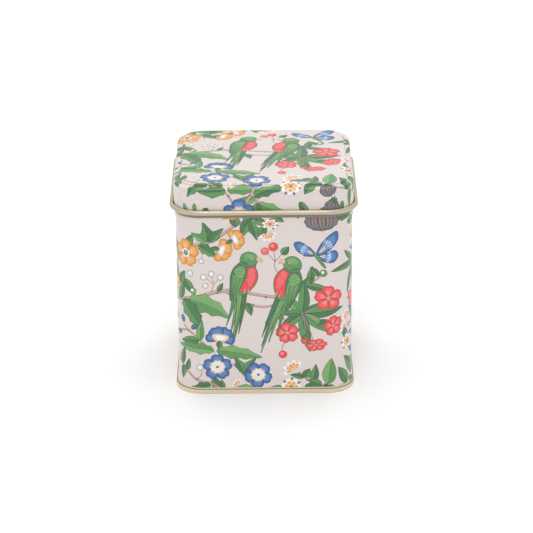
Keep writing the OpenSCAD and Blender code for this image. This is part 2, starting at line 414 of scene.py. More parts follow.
def bird(pen, x, y, size=1, flip=False, nod=0, lean=0):
    """A plump green bird with a red breast and a long tail, perched with its feet at (x, y), facing -x."""
    pen = pen.at(x, y, lean, BIRD_SCALE * size, flip, BIRD_SQUASH)
    tails = ((1.2, 3.4, 24), (2.6, 5, 21), (0.2, 1.8, 20), (3.6, 6.6, 16.5), (1.9, 4.3, 26.5))
    for k, (x0, x1, drop) in enumerate(tails):
        ink = ("green_mid", "green_light", "green_dark")[k % 3]
        plume(pen, ink, "green_line", [
            (x0, 0.5), (0.6 * x0 + 0.4 * x1 - 0.3, -0.45 * drop), (x1, -drop),
        ], 2.9)
    body = [
        (-2.2, 12.6), (-4.2, 9.2), (-4.4, 5.4), (-2.8, 1.6), (0.2, -1.6), (2.6, -1.2), (4.6, 2.6), (5.2, 7.2),
        (3.8, 11.2), (1.2, 13.6)
    ]
    shape(pen, "green_mid", "green_line", body, 0.24, 6)
    breast = [
        (-2.4, 12), (-4, 9.4), (-4.3, 6), (-3, 2.4), (-0.4, -0.4), (1.6, 0.2), (1, 4.4),
        (-0.2, 8.6), (-0.8, 11.6)
    ]
    shape(pen, "red_mid", "red_line", breast, 0.14, 6)
    pen.patch("red_light", [(-2.6, 10.8), (-3.6, 7.4), (-3, 4), (-1.4, 2.4), (-0.8, 5.6), (-1.2, 9.6)])
    for row in range(5):
        for k in range(3):
            px, py = -3.4 + 1.05 * k + 0.25 * row, 9.6 - 1.7 * row - 0.3 * k
            barb = [(px, py), (px + 0.15, py - 0.5), (px + 0.5, py - 0.75)]
            pen.stroke("red_mid" if row % 2 else "red_pale", barb, 0.2, 0.08)
    wing = [
        (0.4, 11.6), (-0.4, 8.4), (0.8, 4), (2.8, -0.6), (4.8, -4.6), (5.6, -3.6), (5.8, 2), (5.6, 7.6),
        (3.6, 11.6)
    ]
    shape(pen, "green_dark", "green_line", wing, 0.2, 6)
    pen.patch("green_light", [(0.7, 10.8), (0.3, 8.2), (1.4, 6), (3.4, 6.6), (4.4, 9.2), (2.8, 11)])
    for k in range(6):
        top = (1.2 + 0.72 * k, 5.8 + 0.3 * k)
        tip = (3.9 + 0.3 * k, -3.4 + 1 * k)
        bow = ((top[0] + tip[0]) / 2 - 0.2, (top[1] + tip[1]) / 2)
        pen.stroke("green_mid" if k % 2 else "green_light", smooth([top, bow, tip], per=3), 0.62, 0.18)
        edge = [(top[0] + 0.36, top[1]), (bow[0] + 0.36, bow[1]), (tip[0] + 0.16, tip[1])]
        pen.stroke("green_line", smooth(edge, per=3), 0.16, 0.08)
    for row in range(3):
        for k in range(4):
            px, py = 0.9 + 0.95 * k - 0.1 * row, 10.2 - 1.35 * row + 0.12 * k
            scale = [(px - 0.36, py + 0.1), (px, py - 0.34), (px + 0.4, py + 0.06)]
            pen.stroke("green_line", smooth(scale, per=2), 0.16)
    head = pen.at(-0.9, 13.6, nod)
    shape(head, "slate", "green_line", [
        (-2.4, -0.6), (-2.2, -2.6), (0.2, -3), (2.6, -2), (2.2, -0.4), (0, -0.8),
    ], 0.14, 4)
    shape(head, "green_mid", "green_line", [
        (-3.5, 0.6), (-2.9, 2.8), (-0.6, 4.2), (2, 3.4), (3.2, 0.8), (2.4, -1.6), (-0.2, -2.2), (-2.8, -1.2),
    ], 0.22, 6)
    head.patch("green_light", [(-2.6, 1.8), (-0.8, 3.4), (1.4, 2.6), (0.6, 1.2), (-1, 0.9)])
    head.patch("green_dark", [(0.2, -1.9), (2.2, -1.2), (2.9, 0.6), (1.6, 0.2), (0.4, -0.8)])
    shape(head, "peach", "bark_line", [
        (-3.3, 1.3), (-4.7, 0.9), (-5, -0.9), (-4.1, -0.3), (-3.1, -0.4),
    ], 0.16, 4)
    head.stroke("bark_line", smooth([(-3.1, 0.2), (-4, 0.2), (-4.7, -0.2)], per=3), 0.16)
    for ink, r, n in (("bark_line", 0.62, 10), ("peach", 0.42, 10), ("slate", 0.24, 8)):
        head.disc(ink, -1.5, 0.9, r, n)
    for k in range(7):
        a = math.radians(25 + 46 * k)
        px, py = 1 + 1.25 * math.cos(a), 1 + 1.3 * math.sin(a)
        head.stroke("green_line", [(px - 0.28, py), (px, py - 0.22), (px + 0.28, py)], 0.14)
    for k in (-0.9, 0.5):
        pen.stroke("bark_line", smooth([(k - 0.3, 1), (k - 0.5, -0.4), (k + 0.2, -1.3)], per=3), 0.62, 0.3)
        pen.stroke("peach", smooth([(k - 0.3, 0.9), (k - 0.5, -0.3), (k + 0.1, -1)], per=3), 0.32, 0.14)


def branch(pen, points, start, end):
    """A twig with a drawn edge, a lit side and knots."""
    curve = smooth(points, per=6)
    pen.stroke("bark_line", curve, start + 0.3, end + 0.2)
    pen.stroke("bark", curve, start, end)
    left = sideways(np.gradient(curve, axis=0))
    upper = curve + left * np.linspace(start, end, len(curve))[:, None] * 0.2
    pen.stroke("bark_light", upper, start * 0.42, end * 0.36)
    for i in range(5, len(curve) - 3, 7):
        out = left[i] if (i // 7) % 2 else -left[i]
        along = np.array([left[i, 1], -left[i, 0]]) * 0.5
        pen.fill("bark_line", [curve[i] - along, curve[i] + out * (0.5 * start + 0.5), curve[i] + along])


def twig(pen, points, width=0.34):
    curve = smooth(points)
    pen.stroke("bark_line", curve, width, width * 0.6)
    pen.stroke("bark", curve[1:-1], width * 0.5, width * 0.3)


def leaves(pen, rows):
    """Leaves from rows of x, y, turn, length, width, bend, tone and, where a leaf has them, its lobes."""
    for x, y, turn, length, width, bend, tone, *lobes in rows:
        veins = 4 if length > LONG_LEAF else 2
        leaf(pen, x, y, turn, LEAF_LENGTH * length, LEAF_WIDTH * width, bend, tone, *(lobes or [0]), veins)


# ---- the garden print, in millimetres
def garden(pen):
    """The main picture, two birds among flowers. x = 0 is the middle and y = 0 the foot of the tin."""
    # Upper branch, from the left edge to the top
    branch(pen, [
        (-50, 54), (-41, 60), (-32, 68.5), (-22, 71.5), (-13, 78), (-3, 82.5), (8, 87), (20, 90),
    ], 1.5, 0.8)
    leaves(pen, [
        (-38, 62, 118, 12, 4.6, 0.2, MID), (-34, 66, 74, 9.5, 4.6, -0.2, DARK),
        (-24, 71, 96, 9.5, 5.6, 0.2, MID, 2), (-23, 71, 55, 8.5, 4.6, -0.2, DARK, 2),
        (-25, 71, 140, 7.5, 4, 0.2, LIGHT, 2), (-28, 69.5, -32, 10, 5.4, -0.1, DARK, 3),
        (-12, 78, 100, 8, 4.4, 0.1, DARK), (-9, 80, 30, 7, 3.6, 0.2, MID), (-7, 80.5, -112, 8, 4.4, 0.1, MID),
        (-6, 80.5, -68, 9.5, 4.8, -0.1, MID, 2), (-4, 81.5, -30, 6.5, 3.6, 0.1, DARK),
        (3, 85, -50, 7.5, 4, 0.2, DARK), (6, 86, 40, 8, 4, -0.2, MID), (12, 88, -70, 7, 4.4, 0.1, MID),
        (18, 89, -100, 7, 4, 0.2, LIGHT), (-44, 58, 150, 9, 4, 0.2, DARK), (-42, 59, -75, 7, 3.6, 0.2, MID),
    ])
    blossom(pen, -34.2, 65.4, 6.1, ORANGES, 20, 1)
    cup_flower(pen, -19.5, 67.6, -18, 5.8, ORANGES)
    cup_flower(pen, -13.6, 71.6, 24, 5.2, ORANGES)
    blossom(pen, -14.5, 84.8, 5.2, ORANGES, 10, 0.7)
    twig(pen, [(-3, 82), (-0.8, 79), (1.2, 75)])
    leaf(pen, 0.2, 77.5, -120, 4.6, 3.6, 0, DARK)
    star_flower(pen, 2.6, 79, 3.4, 10, 0.7)
    drop_flower(pen, 1.6, 74.4, -78, 4.4)
    twig(pen, [(-28, 69.5), (-26.4, 66), (-27, 63)], 0.3)
    berry(pen, -27, 62.2, 1)

    # Main branch that the birds sit on
    branch(pen, [
        (-52, 38), (-42, 42.5), (-32, 44.5), (-22, 47.6), (-13, 48.6), (-4, 46.6), (5, 45.4), (13, 47.2),
        (19.6, 51.2), (24.6, 55.4),
    ], 1.9, 0.7)
    branch(pen, [(-17, 48.4), (-11.5, 44.6), (-5, 41.4), (2, 41), (8.4, 43.8)], 1.1, 0.7)
    branch(pen, [(7, 45.4), (12, 42.4), (16, 38)], 1, 0.7)
    branch(pen, [(4.6, 44.6), (6.6, 38.5), (9.2, 33)], 0.9, 0.5)
    leaf(pen, -33, 44, -14, 19, 9.5, -0.32, LIGHT, 3, 6)
    leaf(pen, -36, 43.6, -52, 15.5, 8.2, -0.1, DARK, 3, 5)
    leaves(pen, [
        (-43, 42, 100, 10, 4.6, -0.2, DARK), (-39, 43.6, 62, 9, 4.4, 0.2, MID),
        (-45, 41, -90, 10, 4.6, 0.2, MID, 2), (-9.5, 43.4, -122, 7.5, 3.8, 0.2, MID),
        (-7.5, 42.4, -70, 6, 3.2, -0.1, DARK), (-20, 48.2, 62, 4.4, 2.2, 0, MID),
        (20, 51.6, 92, 8, 3.4, -0.2, MID), (16.5, 49, 62, 6.5, 3.6, 0.1, DARK),
        (18.5, 50.2, -8, 10.5, 3.6, -0.15, MID), (23.4, 55, 128, 5.6, 2.6, 0.1, MID),
    ])
    berry(pen, 25.4, 56.2, 1.5, "green_mid", "green_line")
    twig(pen, [(-23, 47.8), (-22, 51.4), (-22.6, 55)], 0.36)
    twig(pen, [(-22.4, 52), (-25.6, 54.6)], 0.3)
    twig(pen, [(-22.2, 51.2), (-19.4, 54)], 0.3)
    for x, y, r in ((-22.8, 56.2, 1.25), (-26.2, 54.8, 1.25), (-19, 54.6, 1.2), (-25.4, 50.8, 1.1)):
        berry(pen, x, y, r)
    twig(pen, [(-38.6, 50.5), (-34.6, 53), (-36, 57)], 0.4)
    leaves(pen, [(-38, 50.6, 70, 7, 4, -0.2, DARK), (-34.8, 53, -58, 8, 4.4, 0.2, MID)])
    berry(pen, -32.2, 56.2, 1.3, "pearl", "green_dark")
    berry(pen, -31, 48.2, 1.4, "green_light", "green_line")
    # Red flowers under the right end of the branch
    centre = (16.4, 37.4)
    spray = pen.at(*centre)
    for turn, length, width, tone in (
        (84, 14.5, 4.6, MID), (132, 12, 4, LIGHT), (24, 11, 3.6, DARK), (4, 17, 5, MID),
        (-36, 17, 4.4, LIGHT), (-84, 17.5, 4.6, DARK), (-146, 12.5, 4.2, MID), (176, 8, 3.4, DARK),
    ):
        leaf(spray, *ray(math.radians(turn), 0.6)[0], turn, length, width, 0.12, tone, veins=5)
    for x, y in ((9.6, -4.4), (0.8, -11), (4.6, -13), (14.6, -6), (12, 8)):
        twig(spray, [(0, 0), (0.5 * x + 0.6, 0.5 * y - 0.4), (x, y)], 0.5)
    bud(spray, 8.2, -3.6, -26, 2.7)
    bud(spray, 0.8, -10.8, -96, 2)
    blossom(pen, 27.6, 44.6, 6, REDS, 12, 0.92, 8)
    blossom(pen, 22.4, 22.6, 4.6, REDS, 0, 0.62, 8, 6)
    leaf(pen, 27.4, 33, 195, 4.4, 3.4, 0, MID)
    blossom(pen, 29.8, 31.6, 4.8, REDS, 40, 0.78, 62)
    leaf(pen, 6.8, 37.4, -150, 7.6, 3.6, 0.1, DARK)
    blossom(pen, 9.8, 28.4, 4.9, REDS, 30, 0.96)
    twig(pen, [(8.6, 23.8), (7.4, 21.4), (7.8, 19.2)], 0.4)
    berry(pen, 7.8, 18.2, 1.7, *RED_BERRY)
    # Berries over the right bird, butterfly, gourd and grasses
    twig(pen, [(8.4, 53.6), (4.6, 58.6), (4.6, 63), (4, 67.6)], 0.44)
    twig(pen, [(4.6, 62), (1, 65.8)], 0.4)
    twig(pen, [(4.6, 61.8), (8, 65.8)], 0.4)
    berry(pen, 3.9, 68.6, 1.9, *RED_BERRY)
    berry(pen, 0.3, 66.6, 1.6, "red_light", "red_line", "red_pale")
    leaf(pen, 7.6, 65.2, 48, 4.2, 3.2, 0, MID)
    bird(pen, -8.4, 48.2, 1, True, -10, -3)
    bird(pen, 6.4, 46.2, 1.04, False, 4, -27)
    butterfly(pen, 22.4, 64.4, 2, 17)
    gourd(pen, 24.6, 80.4, 7.2, 4.5, 4, 6)
    leaves(pen, [
        (31, 84, -28, 8, 6.6, 0.2, MID, 2), (17, 86, 200, 7, 4, 0.1, DARK), (37, 78, 20, 8, 4, 0.1, DARK),
        (42, 60, 148, 9, 3, -0.2, DARK), (42, 59, 184, 14, 3.2, 0.14, MID), (42, 58, -118, 14, 3, 0.2, MID),
        (42, 57, -80, 13, 3, -0.2, DARK), (42, 60, 60, 12, 3.4, 0.2, MID),
    ])
    # Lower left: blue flowers
    branch(pen, [(-50, 24), (-40, 27.6), (-33.4, 29.2), (-27.4, 24.4), (-22, 19.4)], 0.7, 0.6)
    branch(pen, [(-13.6, 14.2), (-8.6, 8.4), (-4.4, 1.6), (-2.6, -6)], 1.4, 1.5)
    twig(pen, [(-36, 31.4), (-31.4, 27.8)], 0.6)
    for x, y, turn in ((-36.2, 33, 108), (-38.2, 27.6, 196), (-31.6, 30.6, 40)):
        bud(pen, x, y, turn, 1.7, BLUES)
    leaves(pen, [
        (-28, 25.2, 92, 9.5, 3.6, -0.2, LIGHT), (-28.6, 25.2, 186, 9.5, 4, 0.1, DARK),
        (-22.4, 20.4, 172, 18, 6.2, 0.12, LIGHT, 3), (-21, 20.2, -6, 21, 7.4, -0.1, LIGHT, 3),
        (-22.6, 6.8, -62, 7.6, 5.6, 0.1, DARK, 2), (-9.2, 9.2, 62, 9.4, 4.6, -0.2, MID, 2),
        (-9.8, 9.8, 108, 8.4, 4.4, 0.2, DARK, 2),
    ])
    cup_flower(pen, -19.6, 24.6, 82, 7, BLUES)
    blossom(pen, -20.8, 12.4, 6.3, BLUES, 18)
    blossom(pen, -3, 8.6, 6, BLUES, 50, 0.96)
    # Along the foot
    branch(pen, [(-46, 18), (-37.6, 12.6), (-30.2, 6.6), (-23.6, 4.6), (-17, 0.4), (-12, -7)], 0.8, 0.7)
    leaves(pen, [
        (-37.6, 12.6, 84, 8.6, 3.4, -0.2, MID), (-35, 10.4, 66, 5.6, 2.6, 0.2, DARK),
        (-36.6, 11.8, -98, 6.2, 3.6, 0.1, MID), (-24, 4.2, -158, 12, 6, 0.1, MID, 3),
        (-18.6, 1.8, 92, 4.6, 2.4, 0.1, DARK), (-16.4, 0.6, -170, 12, 6.4, -0.2, MID, 2),
        (-15.4, 0.6, 8, 15, 6.6, -0.25, LIGHT, 2), (-4, -2.4, 28, 17, 6, -0.3, MID, 3),
        (-4, -3, 205, 13, 6.4, 0.2, LIGHT, 2),
    ])
    twig(pen, [(-29.6, 6.4), (-27.6, 9.4), (-28.4, 11.6)], 0.4)
    berry(pen, -28.4, 12.2, 1.3, "pearl", "green_dark")
    drop_flower(pen, -12, 4, 150, 3.4)
    # Lower right: white flowers, small gourd and leaves
    branch(pen, [(14.6, 9.8), (19.4, 5.6), (26, 2.8), (34, 2.8), (42, 7.6), (48, 14)], 0.7, 0.6)
    leaves(pen, [
        (17.4, 7.4, 60, 4.4, 4, 0, DARK), (16.8, 7.2, 164, 6, 2.4, 0.1, MID),
        (20.6, 5, 72, 8.6, 3.8, 0.2, MID), (24.6, 3.4, 152, 6.4, 3.6, 0.1, DARK),
        (27.8, 4.2, 86, 12.4, 6.6, -0.05, LIGHT), (36.8, 3.4, 116, 9.4, 5, 0.1, DARK),
        (40.6, 7.2, 108, 10.5, 5, 0.35, MID), (38.6, 4.8, -40, 7.6, 4, 0.1, DARK),
        (21, 4, -128, 6.6, 5, 0.1, MID), (44, 9.6, 30, 9, 4.2, 0.2, MID),
    ])
    drop_flower(pen, 12.4, 11, 128, 5.6)
    star_flower(pen, 11.4, 2.6, 4.4, 8)
    gourd(pen, 27.4, 0.6, 3.6, 3, 20, 4)
    twig(pen, [(42, 38), (37.4, 34.6), (35.6, 30)], 0.4)
    drop_flower(pen, 37, 35, 160, 4)
    drop_flower(pen, 36.4, 29.4, 200, 4)
    leaf(pen, 36, 25.8, 100, 3.6, 3, 0, DARK)
    star_flower(pen, 37.4, 22.6, 3.6, 0)


def side_garden(pen):
    """The picture between two main ones: one bird, a large gourd and more flowers."""
    branch(pen, [(-34, 30), (-24, 33), (-14, 37.4), (-3, 37.8), (8, 35.4), (18, 37.6), (27, 42.6)], 1.7, 1)
    branch(pen, [
        (-12, 37.6), (-7, 43.4), (-5.4, 50), (-8, 57), (-6, 65), (1, 71), (10, 74.6), (20, 81),
    ], 1.3, 0.9)
    branch(pen, [(10, 35.4), (13.6, 29.4), (12.6, 22), (15.6, 14), (14.6, 4)], 1, 0.9)
    branch(pen, [(-22, 33.4), (-19.6, 26), (-22.6, 18.4), (-18, 10), (-16.6, 0)], 1, 0.8)
    leaves(pen, [
        (-28, 32, 118, 9, 4.4, 0.2, MID), (-20, 34.6, 70, 10, 5, -0.2, DARK),
        (-26, 32.2, -100, 9, 4.6, 0.2, LIGHT, 2), (-6.4, 44, 10, 10, 4.4, 0.2, MID),
        (-5.4, 51, 168, 11, 5, 0.2, DARK, 2), (-7.6, 56, 24, 11, 5, -0.2, LIGHT, 2),
        (-7, 62, 150, 12, 5.4, -0.2, MID, 2), (-2, 68.6, -20, 10, 4.6, 0.2, DARK),
        (4, 72.6, 108, 10, 4.8, 0.1, MID), (10, 74.8, -46, 11, 5, 0.2, MID, 2),
        (17, 78.6, 150, 9, 4.2, -0.2, LIGHT), (13, 30, 20, 12, 5.4, 0.2, LIGHT, 2),
        (12.6, 24, 190, 12, 5.6, -0.2, MID, 3), (14.6, 17, 22, 12, 5, -0.2, DARK, 2),
        (15.6, 12, 168, 11, 5, 0.2, MID, 2), (15, 6, -10, 12, 5.6, 0.2, MID, 3),
        (-20, 27, -160, 10, 5, 0.2, DARK), (-21.6, 21, 10, 9, 4.6, 0.2, LIGHT),
        (-20, 13.6, 172, 11, 5.2, 0.2, MID, 2), (-17.6, 7.6, 22, 11, 5, -0.2, DARK, 2),
        (-17, 3, 200, 11, 5.4, 0.1, LIGHT, 2), (22, 39.6, 84, 9, 4, -0.2, MID),
        (24, 41, -56, 11, 5, 0.2, DARK, 2), (4, 36.4, -84, 9, 4.2, 0.2, MID),
    ])
    blossom(pen, -9.4, 72.4, 6.4, REDS, 8)
    bud(pen, 4.4, 79.8, 60, 2.4)
    bud(pen, -15.4, 66, 168, 2.4)
    blossom(pen, 22.6, 68.6, 6.6, BLUES, 30, 0.92, 10)
    cup_flower(pen, -26.6, 69.4, 70, 6.4, ORANGES)
    twig(pen, [(-26, 68), (-24.6, 61), (-26, 54)], 0.5)
    leaves(pen, [
        (-25, 63, 150, 8, 3.6, 0.2, MID), (-24.8, 60, 20, 8, 3.6, -0.2, DARK),
        (-26, 56, -150, 7, 3.4, 0.1, MID),
    ])
    bird(pen, 9.4, 38, 1.02, False, 8, -16)
    butterfly(pen, -14.6, 52.4, -30, 15, True)
    blossom(pen, 27.4, 51.4, 5.8, ORANGES, 0)
    gourd(pen, -1.2, 12.4, 8.8, 6.6, -6, 7)
    twig(pen, [(-0.6, 19), (2.4, 24), (7.6, 27)], 0.7)
    leaves(pen, [(2.6, 24, 120, 8, 5, 0.1, MID), (3.4, 24.6, -20, 7, 3.6, 0.2, DARK)])
    blossom(pen, -28.6, 42.8, 5.2, REDS, 20, 0.9)
    blossom(pen, -28.4, 22, 6.2, BLUES, 40)
    star_flower(pen, 25.6, 22.4, 4.4, 10)
    drop_flower(pen, 26.6, 30.4, 100, 4.4)
    star_flower(pen, -27.4, 7, 4.4, 0)
    blossom(pen, 24, 1, 6.2, ORANGES, 12, 0.9)
    for x, y, r in ((-10.6, 27, 1.5), (-7.6, 30, 1.4), (-12.4, 31, 1.3)):
        berry(pen, x, y, r)
    twig(pen, [(-14, 36.6), (-11, 32), (-9.4, 28)], 0.36)
    leaves(pen, [(-6, -2, 160, 12, 6, 0.1, MID, 2), (2, -2, 20, 12, 6, 0.1, DARK, 2)])


def folded_edge(pen):
    """What the lid's print adds past the main picture: it fills the shoulder and the skirt."""
    branch(pen, [(-4.1, 1.4), (-6.2, -2.8), (-9.4, -7.4)], 1.1, 1)
    leaves(pen, [
        (-24, -7.5, -118, 10, 4.6, 0.2, MID, 2), (-31, -5, -96, 13, 5, 0.2, LIGHT, 2),
        (-2.7, -5.6, -26, 14, 6.2, 0.2, LIGHT, 2), (-2.7, -5.4, -96, 9, 4.4, 0.1, DARK),
        (15.4, -5, -62, 9, 3.4, 0.2, MID), (22.6, -12.6, 52, 9, 3.8, -0.2, MID),
        (37.4, -2.2, -76, 10, 4.6, 0.2, DARK), (-38.6, -2, -92, 14, 4, 0.1, LIGHT),
        (40.8, -6, -100, 12, 4, 0.1, DARK),
    ])
    blossom(pen, -10.6, -10.4, 7, BLUES, 18, 0.96)
    gourd(pen, 31.2, -8.6, 5.8, 5.2, 0, 5)


# ---- profiles
# Rows of x from the corner centre, z and a normal
def arc(cx, cz, r, start, stop, steps=ARC_STEPS, side=1.0):
    """Rows along an arc. A side of -1 turns the normal towards the centre."""
    a = np.radians(np.linspace(start, stop, steps + 1))
    return np.stack([cx + r * np.cos(a), cz + r * np.sin(a), side * np.cos(a), side * np.sin(a)], 1)


def line(x0, z0, x1, z1, nx, nz):
    return np.array([[x0, z0, nx, nz], [x1, z1, nx, nz]], float)


FLARE_R = ((FLARE_TOP - SEAM_TOP) ** 2 + FLARE_DEPTH**2) / (2 * FLARE_DEPTH)
BEAD_R = ((BEAD_HEIGHT / 2) ** 2 + BEAD_DEPTH**2) / (2 * BEAD_DEPTH)
bead_centre = CORNER_R + BEAD_DEPTH - BEAD_R
foot_x = CORNER_R + FLARE_DEPTH


def wall_rows(x, turned=1.0):
    """The side wall at a distance x from the corner centre, from foot to neck, with flare and bead."""
    in_by = CORNER_R - x
    flare_turn = math.degrees(math.asin((FLARE_TOP - SEAM_TOP) / (FLARE_R + in_by)))
    flare = arc(CORNER_R + FLARE_R, FLARE_TOP, FLARE_R + in_by, 180 + flare_turn, 180, FLARE_STEPS, -1)
    half = math.degrees(math.acos((x - bead_centre) / (BEAD_R - in_by)))
    reach = (BEAD_R - in_by) * math.sin(math.radians(half))
    bead = arc(bead_centre, bead_z, BEAD_R - in_by, -half, half, BEAD_STEPS)
    bead[[0, -1], 2:] = (bead[[0, -1], 2:] + (1, 0)) / 2
    rows = np.concatenate([
        line(flare[0, 0], FLANGE_FOOT, flare[0, 0], SEAM_TOP - BEAD_SOFT, 1, 0), flare,
        line(x, bead_z - reach - BEAD_SOFT, x, bead_z - reach - BEAD_SOFT, 1, 0)[:1], bead,
        line(x, bead_z + reach + BEAD_SOFT, x, neck_z - NECK_CURL_R, 1, 0),
    ])
    rows[:, 2:] *= turned
    return rows


neck_r = NECK_CURL_R - SHEET
curl_x = CORNER_R - NECK_CURL_R
curl_z = neck_z - NECK_CURL_R
wall_outside = wall_rows(CORNER_R)
wall_inside = wall_rows(CORNER_R - SHEET, -1.0)[::-1]
body_rest = [
    arc(curl_x, curl_z, NECK_CURL_R, 0, 270, CURL_STEPS),
    line(curl_x, curl_z - NECK_CURL_R, curl_x, curl_z - neck_r, -1, 0),
    arc(curl_x, curl_z, neck_r, 270, 0, CURL_STEPS, -1),
    wall_inside,
    line(wall_inside[-1, 0], FLANGE_FOOT, foot_x, FLANGE_FOOT, 0, -1),
]

panel_x = CORNER_R - PANEL_INSET - STEP_R
step_z = top_z - STEP_R
foot_round = (panel_x + 2 * STEP_R, step_z)
shoulder = (skirt_x - SHOULDER_R, ledge_z - SHOULDER_R)
lip = (skirt_x - SHEET + LID_CURL_R, rim_z + LID_CURL_R)
lid_outside = np.concatenate([
    arc(panel_x, step_z, STEP_R, 90, 0), arc(*foot_round, STEP_R, 180, 270, side=-1)[1:],
    arc(*shoulder, SHOULDER_R, 90, 0, 2 * ARC_STEPS), line(skirt_x, lip[1], skirt_x, lip[1], 1, 0)[:1],
])
lid_rest = [
    arc(*lip, LID_CURL_R - SHEET, 180, LIP_END, LIP_STEPS, -1),
    arc(*lip, LID_CURL_R - SHEET, LIP_END, LIP_END, 0, -1),
    arc(*lip, LID_CURL_R, LIP_END, 180, LIP_STEPS),
    line(skirt_x - SHEET, lip[1], skirt_x - SHEET, shoulder[1], -1, 0),
    arc(*shoulder, SHOULDER_R - SHEET, 0, 90, ARC_STEPS, -1),
    line(shoulder[0], ledge_z - SHEET, foot_round[0], ledge_z - SHEET, 0, -1),
    arc(*foot_round, STEP_R + SHEET, 270, 180, ARC_STEPS),
    arc(panel_x, step_z, STEP_R - SHEET, 0, 90, ARC_STEPS, -1),
]


# ---- folding a print onto its sheet
HALVINGS = 24
MERGE_DISTANCE = 1e-5
SLIVER = 1e-10
ON_CUT = 1e-4
FACES = np.array([[0, -1, 1, 0], [1, 0, 0, 1], [0, 1, -1, 0], [-1, 0, 0, -1]], float)
quarter = girth / 4


def around(u):
    """Core square points and outward directions for distances round the girth, from the front's middle."""
    u = np.asarray(u, float)
    face = np.floor((u + quarter / 2) / quarter)
    a = u - face * quarter
    facing = FACES[face.astype(int) % 4]
    out, along = facing[:, :2], facing[:, 2:]
    turn = np.sign(a) * np.maximum(np.abs(a) - core, 0) / CORNER_R
    base = out * core + along * np.clip(a, -core, core)[:, None]
    return base, out * np.cos(turn)[:, None] + along * np.sin(turn)[:, None]


def girth_samples(start):
    """Distances along one girth from start: the ends of each flat side and the steps of each corner."""
    arc_length = math.pi / 2 * CORNER_R
    one = [-core] + [core + arc_length * j / CORNER_STEPS for j in range(CORNER_STEPS)]
    u = np.array([k * quarter + v for k in range(4) for v in one])
    return np.sort((u - start) % girth) + start


def place(base, out, x, z, nx, nz):
    """Points and normals of a sheet from its corner bases, outward directions and profile rows."""
    points = np.concatenate([base + out * x[:, None], z[:, None]], 1)
    return points, unit(np.concatenate([out * nx[:, None], nz[:, None]], 1))


def simplify(points, tolerance):
    """The outline without the points that lie within the tolerance of its line."""
    n = len(points)
    far = int(np.argmax(np.sum((points - points[0]) ** 2, 1)))
    keep = {0, far}
    stack = [(0, far), (far, n)]
    ring = np.concatenate([points, points[:1]])
    while stack:
        a, b = stack.pop()
        if b - a < 2:
            continue
        chord = ring[b] - ring[a]
        offset = ring[a + 1:b] - ring[a]
        length = np.hypot(*chord)
        if length < 1e-9:
            away = np.hypot(offset[:, 0], offset[:, 1])
        else:
            away = np.abs(chord[0] * offset[:, 1] - chord[1] * offset[:, 0]) / length
        i = int(np.argmax(away))
        if away[i] > tolerance:
            keep.add(a + 1 + i)
            stack += [(a, a + 1 + i), (a + 1 + i, b)]
    return points[sorted(k for k in keep if k < n)]


def clipped(starts, ends, margin):
    """Segments cut where the margin function, positive inside, turns negative."""
    inside_a, inside_b = margin(starts) > 0, margin(ends) > 0
    keep = inside_a | inside_b
    a, b, ia, ib = starts[keep], ends[keep], inside_a[keep], inside_b[keep]
    for inner, outer, cut in ((a, b, ia & ~ib), (b, a, ib & ~ia)):
        good, bad = inner[cut], outer[cut]
        for _ in range(HALVINGS):
            middle = (good + bad) / 2
            ok = margin(middle) > 0
            good = np.where(ok[:, None], middle, good)
            bad = np.where(ok[:, None], bad, middle)
        outer[cut] = good
    return a, b


def inside_polygon(points, polygon):
    x, y = points[:, 0], points[:, 1]
    hit = np.zeros(len(points), bool)
    previous = polygon[-1]
    for corner in polygon:
        if corner[1] != previous[1]:
            crosses = (corner[1] > y) != (previous[1] > y)
            at = (previous[0] - corner[0]) * (y - corner[1]) / (previous[1] - corner[1]) + corner[0]
            hit ^= crosses & (x < at)
        previous = corner
    return hit


def box_of(outline, sorted_x):
    """The low and high y of an outline and the range of sorted x values beside it."""
    low, high = outline.min(0), outline.max(0)
    return low[1], high[1], slice(*np.searchsorted(sorted_x, (low[0], high[0])))


def visible_edges(outlines, low, high):
    """The edges of the outlines that no later outline covers."""
    starts, ends, owner = [], [], []
    for k, outline in enumerate(outlines):
        if np.any(outline.max(0) < low) or np.any(outline.min(0) > high):
            continue
        starts.append(outline)
        ends.append(np.roll(outline, -1, 0))
        owner.append(np.full(len(outline), k))
    starts, ends, owner = np.concatenate(starts), np.concatenate(ends), np.concatenate(owner)
    order = np.argsort(starts[:, 0])
    starts, ends, owner = starts[order], ends[order], owner[order]
    alive = np.ones(len(starts), bool)
    for k, outline in enumerate(outlines):
        low_y, high_y, near = box_of(outline, starts[:, 0])
        part = np.arange(len(starts))[near]
        y = starts[part, 1]
        part = part[alive[part] & (owner[part] < k) & (y > low_y) & (y < high_y)]
        if not len(part):
            continue
        hidden = inside_polygon(starts[part], outline) & inside_polygon(ends[part], outline)
        hidden &= inside_polygon((starts[part] + ends[part]) / 2, outline)
        alive[part[hidden]] = False
    return starts[alive], ends[alive]


